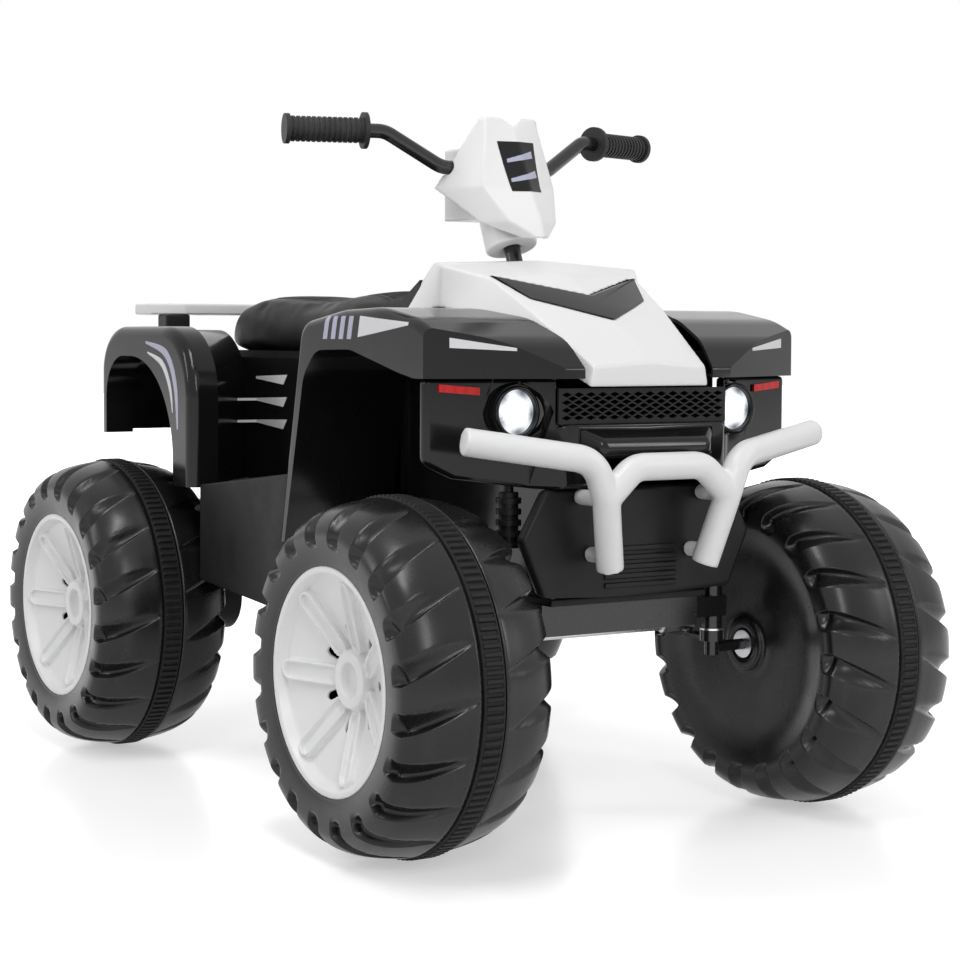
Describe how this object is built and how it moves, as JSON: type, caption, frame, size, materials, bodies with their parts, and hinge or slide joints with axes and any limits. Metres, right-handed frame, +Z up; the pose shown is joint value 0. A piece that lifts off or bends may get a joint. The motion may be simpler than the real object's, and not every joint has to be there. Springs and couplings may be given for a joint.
{
  "type": "kids quad bike",
  "caption": "Ride-on toy quad bike with lugged drum wheels, steered front axle, handlebar, moulded fenders, padded seat, brush guard and rear rack.",
  "frame": {"origin": "on the ground, midway between the axles, on the middle plane", "axes": "forward is -Y, the rider's left is +X, up is +Z"},
  "size_m": [0.6836, 1.052, 0.758],
  "materials": {
    "gloss_black": "glossy moulded plastic",
    "satin_black": "satin moulded plastic",
    "white_plastic": "semi-gloss moulded plastic",
    "tyre": "satin blow-moulded plastic",
    "band": "ribbed rubber",
    "steel": "zinc plated",
    "black_metal": "gloss black paint",
    "grip_rubber": "matte rubber",
    "seat_leather": "grained artificial leather",
    "lens": "clear",
    "reflector_red": "clear red",
    "button_red": "glossy"
  },
  "bodies": {
    "chassis": {"axle_beam": "black_metal", "battery": "satin_black", "brush_guard": "white_plastic", "chassis_tray": "satin_black", "control_box": "satin_black", "dash_console": "gloss_black", "foot_well_left": "satin_black", "foot_well_right": "satin_black", "front_body": "gloss_black", "front_grille": "satin_black", "front_mask": "gloss_black", "gearbox_left": "satin_black", "gearbox_right": "satin_black", "headlight_housings": "gloss_black", "headlight_lenses": "lens", "hood_cover": "white_plastic", "kingpin_washers": "steel", "motors": "black_metal", "rack_posts": "satin_black", "rear_axle": "steel", "rear_body": "gloss_black", "rear_rack": "white_plastic", "scoop_insert": "gloss_black", "seat_base": "satin_black", "seat_cushion": "seat_leather", "side_panel_left": "gloss_black", "side_panel_right": "gloss_black", "side_reflectors": "reflector_red", "skid_plate": "satin_black", "strut_boots": "satin_black"},
    "steering": {"handlebar": "black_metal", "grip_left": "grip_rubber", "grip_right": "grip_rubber", "bar_cover_front": "white_plastic", "bar_cover_back": "white_plastic", "steering_column": "black_metal", "column_shroud": "white_plastic"},
    "tie_rod": {"tie_rod": "steel"},
    "knuckle_left": {"kingpin_left": "black_metal"},
    "knuckle_right": {"kingpin_right": "black_metal"},
    "pedal": {"pedal": "satin_black"},
    "power_button": {"power_button": "button_red"},
    "direction_switch": {"direction_switch": "satin_black"},
    "speed_switch": {"speed_switch": "satin_black"},
    "wheel_front_left": {"tyre_front_left": "tyre", "band_front_left": "band", "rim_front_left": "white_plastic", "bearing_front_left": "steel"},
    "wheel_front_right": {"tyre_front_right": "tyre", "band_front_right": "band", "rim_front_right": "white_plastic", "bearing_front_right": "steel"},
    "wheel_rear_left": {"tyre_rear_left": "tyre", "band_rear_left": "band", "rim_rear_left": "white_plastic", "bearing_rear_left": "steel"},
    "wheel_rear_right": {"tyre_rear_right": "tyre", "band_rear_right": "band", "rim_rear_right": "white_plastic", "bearing_rear_right": "steel"}
  },
  "joints": [
    {"name": "steer", "type": "hinge", "parent": "chassis", "child": "steering", "pos_m": [0, -0.1257, 0.7], "axis": [0, 0.3746, 0.9272], "range_deg": [-25, 25]},
    {"name": "knuckle_left_turn", "type": "hinge", "parent": "chassis", "child": "knuckle_left", "pos_m": [0.138, -0.347, 0.23], "axis": [0, 0, 1], "range_deg": [-25.5, 25.5]},
    {"name": "knuckle_right_turn", "type": "hinge", "parent": "chassis", "child": "knuckle_right", "pos_m": [-0.138, -0.347, 0.23], "axis": [0, 0, 1], "range_deg": [-25.5, 25.5]},
    {"name": "tie_rod_slide", "type": "slide", "parent": "chassis", "child": "tie_rod", "axis": [1, 0, 0], "range_m": [-0.0202, 0.0202]},
    {"name": "wheel_front_left_spin", "type": "hinge", "parent": "knuckle_left", "child": "wheel_front_left", "pos_m": [0.2583, -0.347, 0.179], "axis": [1, 0, 0], "continuous": true},
    {"name": "wheel_front_right_spin", "type": "hinge", "parent": "knuckle_right", "child": "wheel_front_right", "pos_m": [-0.2583, -0.347, 0.179], "axis": [1, 0, 0], "continuous": true},
    {"name": "wheel_rear_left_spin", "type": "hinge", "parent": "chassis", "child": "wheel_rear_left", "pos_m": [0.2583, 0.347, 0.179], "axis": [1, 0, 0], "continuous": true},
    {"name": "wheel_rear_right_spin", "type": "hinge", "parent": "chassis", "child": "wheel_rear_right", "pos_m": [-0.2583, 0.347, 0.179], "axis": [1, 0, 0], "continuous": true},
    {"name": "pedal_press", "type": "hinge", "parent": "chassis", "child": "pedal", "pos_m": [-0.164, 0.0598, 0.2555], "axis": [1, 0, 0], "range_deg": [0, 11], "stiffness_Nm_per_rad": 1.5, "springref_deg": -8.59},
    {"name": "power_button_press", "type": "slide", "parent": "chassis", "child": "power_button", "axis": [0, -0.4961, -0.8682], "range_m": [0, 0.0028], "stiffness_N_per_m": 300, "springref_m": -0.001},
    {"name": "direction_switch_rock", "type": "hinge", "parent": "chassis", "child": "direction_switch", "pos_m": [0.036, -0.04419, 0.56239], "axis": [1, 0, 0], "range_deg": [-8, 8]},
    {"name": "speed_switch_rock", "type": "hinge", "parent": "chassis", "child": "speed_switch", "pos_m": [-0.036, -0.04419, 0.56239], "axis": [1, 0, 0], "range_deg": [-8, 8]}
  ],
  "couplings": [
    {"joint": "knuckle_left_turn", "follows": "steer", "ratio": 1},
    {"joint": "knuckle_right_turn", "follows": "steer", "ratio": 1},
    {"joint": "tie_rod_slide", "follows": "steer", "m_per_rad": -0.0452}
  ]
}
